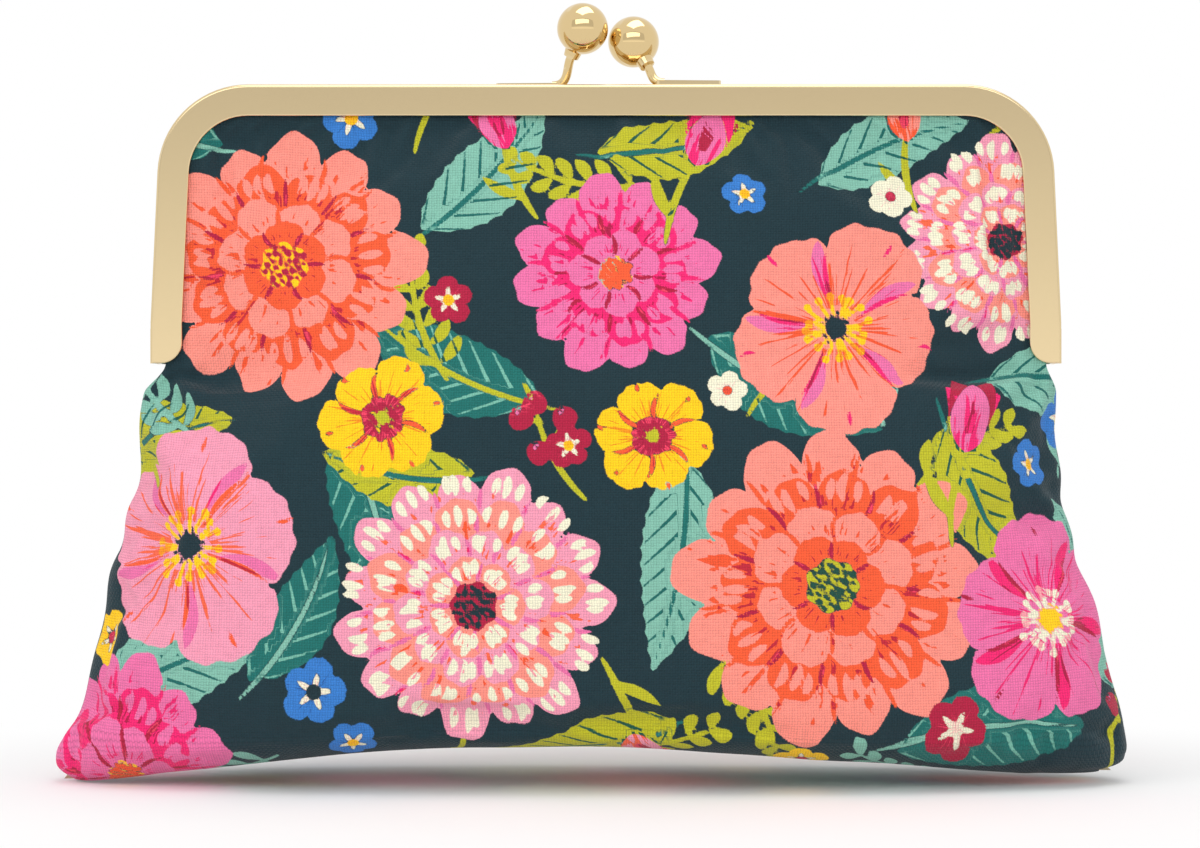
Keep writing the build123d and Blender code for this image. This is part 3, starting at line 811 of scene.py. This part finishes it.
def new_material(name):
    mat = bpy.data.materials.new(name)
    mat.use_nodes = True
    net = Net(mat.node_tree)
    return mat, net, net.nodes["Principled BSDF"]


def weave_nodes(net, pitch):
    """Plain weave on the flat cloth: its height 0..1, its slubs, and the flat place in mm."""
    flat = net.add("UVMap")
    flat.uv_map = "cloth_mm"
    uv = flat.outputs["UV"]
    slub_x = net.noise(net.scaled(uv, (0.25, 1.4, 1.0)), 1.3, 2.0)
    slub_y = net.noise(net.scaled(uv, (1.4, 0.25, 1.0)), 1.3, 2.0)
    across = net.parts(uv)
    # The threads wander a little with their slubs.
    turns = math.pi / pitch
    sx, sy = (net.math("SINE", net.math("MULTIPLY", net.math("MULTIPLY_ADD", slub, 0.35, place), turns))
              for slub, place in ((slub_y, across["X"]), (slub_x, across["Y"])))
    over = net.math("GREATER_THAN", net.math("MULTIPLY", sx, sy), 0.0)
    warp = net.math("MULTIPLY", net.math("ABSOLUTE", sx), over)
    weft = net.math("MULTIPLY", net.math("ABSOLUTE", sy), net.math("SUBTRACT", 1.0, over))
    return net.math("ADD", warp, weft), net.math("ADD", slub_x, slub_y), uv


def brush_lines(net, uv):
    """Where the second colour shows: rays from a flower's heart, and the side veins of leaves."""
    ray = net.attribute("brush_ray", "Vector")
    streak = net.noise(net.scaled(ray, (13.0, 13.0, 1.6)), 1.0, 2.5, 0.6)
    share = net.parts(ray)["Z"]
    dry = net.noise(uv, 1.1, 3.0, 0.7)
    over = net.math("SUBTRACT", streak, net.range(share, 0.15, 1.0, 0.44, 0.72))
    over = net.math("ADD", over, net.centred(dry, 0.10))
    rays = net.math("MULTIPLY", net.range(over, 0.0, 0.022), net.math("LESS_THAN", share, 2.0))
    vein = net.parts(net.attribute("brush_vein", "Vector"))
    wave = net.math("COSINE", net.math("MULTIPLY", vein["X"], 2 * math.pi))
    level = net.math("SUBTRACT", wave, net.range(vein["Y"], 0.0, 1.0, 0.66, 0.93))
    level = net.math("ADD", level, net.centred(dry, 0.5))
    inside = net.math("MULTIPLY", vein["Z"], net.math("LESS_THAN", vein["Y"], 0.9))
    veins = net.math("MULTIPLY", net.range(level, 0.0, 0.12), inside)
    return net.math("MAXIMUM", rays, veins, clamp=True)


def print_material():
    mat, net, bsdf = new_material("printed_canvas")
    height, slub, uv = weave_nodes(net, canvas_pitch)
    grain = net.noise(uv, 2.6, 4.0, 0.7)
    fray = net.math("ADD", net.centred(height, 0.16), net.centred(grain, 0.55))
    lines = brush_lines(net, uv)
    colour = ground
    for name, (body, line) in inks.items():
        shifted = net.math("ADD", net.attribute("ink_" + name, "Fac"), fray)
        cover = net.range(shifted, ink_edge, -ink_edge)
        drawn = body if name == "ink" else net.mix(lines, body, line)
        colour = net.mix(cover, colour, drawn)
    # Painted shade: the colour is darker in the weave's valleys between the threads; the dye is also mottled.
    mottled = net.noise(uv, 0.35, 5.0, 0.6)
    weave_shade_and_mottle = net.math("MULTIPLY", height, 0.42)
    for value, share in ((mottled, 0.22), (grain, 0.30), (slub, 0.16)):
        weave_shade_and_mottle = net.math("ADD", weave_shade_and_mottle, net.math("MULTIPLY", value, share))
    shade = net.add("VectorMath")
    shade.operation = "SCALE"
    net.feed(shade.inputs[0], colour)
    net.feed(shade.inputs["Scale"], net.math("ADD", weave_shade_and_mottle, 0.33))
    # A few raised fibres stay pale.
    lint = net.noise(uv, 5.5, 2.0, 0.8)
    pale = net.math("MULTIPLY", net.math("SUBTRACT", lint, 0.66, clamp=True), 1.1, clamp=True)
    net.link(net.mix(pale, shade.outputs[0], srgb(225, 215, 200)), bsdf.inputs["Base Color"])
    net.link(net.math("MULTIPLY_ADD", height, -0.12, 0.92), bsdf.inputs["Roughness"])
    bsdf.inputs["Specular IOR Level"].default_value = 0.28
    bsdf.inputs["Sheen Weight"].default_value = 0.12
    bsdf.inputs["Sheen Roughness"].default_value = 0.5
    net.bump(bsdf, net.math("ADD", height, slub), 0.55, 0.00016)
    return mat


def lining_material():
    mat, net, bsdf = new_material("lining_cotton")
    height, slub, uv = weave_nodes(net, lining_pitch)
    blotch = net.noise(uv, 0.12, 4.0)
    # Painted shade: the colour darkens in the weave's valleys between the threads; the blotches are the
    # cotton's own uneven tone.
    weave_shade_and_mottle = net.math("ADD", net.math("MULTIPLY", height, 0.22), net.math("MULTIPLY", blotch, 0.2))
    net.link(net.mix(weave_shade_and_mottle, srgb(206, 186, 150), srgb(240, 228, 202)), bsdf.inputs["Base Color"])
    bsdf.inputs["Roughness"].default_value = 0.85
    bsdf.inputs["Specular IOR Level"].default_value = 0.3
    net.bump(bsdf, net.math("ADD", height, slub), 0.4, 0.00012)
    return mat


def gold_material(name, colour, rough_low, rough_high, ripple):
    mat, net, bsdf = new_material(name)
    place = net.place()
    cloud = net.noise(place, 38.0, 4.0, 0.55)
    fine = net.noise(place, 900.0, 3.0, 0.6)
    net.link(net.range(cloud, 0.0, 1.0, rough_low, rough_high), bsdf.inputs["Roughness"])
    # The plating is paler where the edges are rubbed.
    worn = net.range(net.add("NewGeometry").outputs["Pointiness"], 0.52, 0.62)
    patch = net.math("MULTIPLY", worn, net.math("MULTIPLY", cloud, 0.55), clamp=True)
    dull = tuple(c * 0.9 for c in colour[:3]) + (1.0,)
    tint = net.mix(net.math("MULTIPLY", fine, 0.25), colour, dull)
    net.link(net.mix(patch, tint, (0.93, 0.84, 0.66, 1.0)), bsdf.inputs["Base Color"])
    bsdf.inputs["Metallic"].default_value = 1.0
    net.bump(bsdf, net.math("ADD", cloud, net.math("MULTIPLY", fine, 0.12)), ripple, 0.00006)
    return mat


def paper_material():
    mat, net, bsdf = new_material("paper_cord")
    twist = net.add("TexWave")
    twist.inputs["Scale"].default_value = 320.0
    twist.inputs["Distortion"].default_value = 2.0
    net.link(net.place(), twist.inputs["Vector"])
    colour = net.mix(twist.outputs["Fac"], srgb(170, 150, 118), srgb(214, 198, 166))
    net.link(colour, bsdf.inputs["Base Color"])
    bsdf.inputs["Roughness"].default_value = 0.9
    return mat


def dress(mat, *names):
    for name in names:
        obj = frame["nodes"][name]
        obj.data.materials.clear()
        obj.data.materials.append(mat)


canvas = print_material()
cotton = lining_material()
frame_gold = gold_material("gold_frame", (0.74, 0.585, 0.345, 1.0), 0.08, 0.13, 0.25)
ball_gold = gold_material("gold_ball", (0.74, 0.56, 0.29, 1.0), 0.035, 0.07, 0.10)
dress(frame_gold, "front_frame", "back_frame")
dress(ball_gold, "clasp_ball_front", "clasp_ball_back", "clasp_arm_front", "clasp_arm_back",
      "hinge_rivet_left", "hinge_rivet_right")
dress(paper_material(), "front_channel_cord", "back_channel_cord")

for side in (-1, 1):
    cut = panel_grid(side)
    settled = add_folds(settle(cut, side), side, fold_seed[side])
    make_panel(side, cut, settled).data.materials.append(canvas)
    make_lining(side, cut, settled).data.materials.append(cotton)


# ---------------------------------------------------------------- studio
def area_light(name, where, aim, size, size_y, power):
    data = bpy.data.lights.new(name, "AREA")
    data.shape = "RECTANGLE"
    data.size, data.size_y, data.energy = size, size_y, power
    lamp = new_object(name, data)
    lamp.location = where
    lamp.rotation_mode = "QUATERNION"
    lamp.rotation_quaternion = (Vector(aim) - Vector(where)).to_track_quat("-Z", "Y")
    return lamp


def quad(name, corners, place):
    mesh = bpy.data.meshes.new(name)
    mesh.from_pydata(corners, [], [(0, 1, 2, 3)])
    obj = new_object(name, mesh)
    obj.location = place
    return obj


def make_floor():
    r = 4.0                                  # half the floor's side
    obj = quad("floor", [(-r, -r, 0), (r, -r, 0), (r, r, 0), (-r, r, 0)], (0, 0, -0.0002))
    mat, net, bsdf = new_material("floor_paper")
    bsdf.inputs["Base Color"].default_value = (0.92, 0.92, 0.92, 1)
    bsdf.inputs["Roughness"].default_value = 0.9
    # Away from the purse the paper runs out into the white studio, as the camera and metal see it.
    reach = net.add("VectorMath")
    reach.operation = "LENGTH"
    net.link(net.scaled(net.place(), (1.0, 1.6, 1.0)), reach.inputs[0])
    fade = net.range(reach.outputs["Value"], 0.07, 0.24)
    fade.node.interpolation_type = "SMOOTHSTEP"
    white = net.add("Emission")
    blend = net.add("MixShader")
    net.link(net.math("MULTIPLY", fade, net.seen_rays()), blend.inputs["Fac"])
    net.link(bsdf.outputs["BSDF"], blend.inputs[1])
    net.link(white.outputs["Emission"], blend.inputs[2])
    net.show(blend.outputs["Shader"])
    obj.data.materials.append(mat)


def make_reflection_card():
    """Glowing card behind the camera in the place of a studio wall, seen only in the metal as a painted
    reflection: it glows brighter low down, dimmer higher up.
    """
    obj = quad("wall", [(-1.6, 0, 0), (1.6, 0, 0), (1.6, 0, 1.3), (-1.6, 0, 1.3)], (0, -1.32, 0))
    obj.visible_camera = obj.visible_diffuse = obj.visible_shadow = False
    obj.visible_transmission = obj.visible_volume_scatter = False
    mat, net, _ = new_material("glowing_reflection_card")
    glow = net.add("Emission")
    height = net.parts(net.place())["Z"]
    net.link(net.range(height, 0.10, 0.31, 1.22, 0.76), glow.inputs["Strength"])
    net.show(glow.outputs["Emission"])
    obj.data.materials.append(mat)


def make_world():
    world = bpy.data.worlds.new("studio")
    world.use_nodes = True
    bpy.context.scene.world = world
    net = Net(world.node_tree)
    back = net.nodes["Background"]
    back.inputs["Color"].default_value = (1, 1, 1, 1)
    net.link(net.range(net.seen_rays(), 0.0, 1.0, 0.55, 1.0), back.inputs["Strength"])


def make_camera():
    data = bpy.data.cameras.new("camera")
    data.lens, data.sensor_width = 85.0, 36.0
    cam = new_object("camera", data)
    view_width = 0.2654                      # width of the view at the purse's middle plane
    view_x, view_z = -0.0013, 0.0787         # middle of the view
    distance = view_width * data.lens / data.sensor_width
    cam.location = (view_x, -distance, view_z)
    cam.rotation_euler = (math.radians(90), 0, 0)
    data.clip_start, data.clip_end = 0.01, 20
    bpy.context.scene.camera = cam


bpy.context.scene.view_settings.view_transform = "Standard"
make_floor()
make_world()
make_camera()
make_reflection_card()
area_light("window", (-0.05, -1.25, 0.70), (0, 0, 0.09), 1.5, 0.66, 4.6)
for lamp in (area_light("left", (-1.0, -0.7, 0.8), (0, 0, 0.08), 0.7, 0.7, 5.0),
             area_light("right", (1.1, -0.8, 0.5), (0, 0, 0.08), 0.7, 0.7, 3.0)):
    lamp.visible_glossy = False
area_light("top", (0.1, -0.1, 1.1), (0, 0, 0.08), 0.9, 0.6, 3.5)
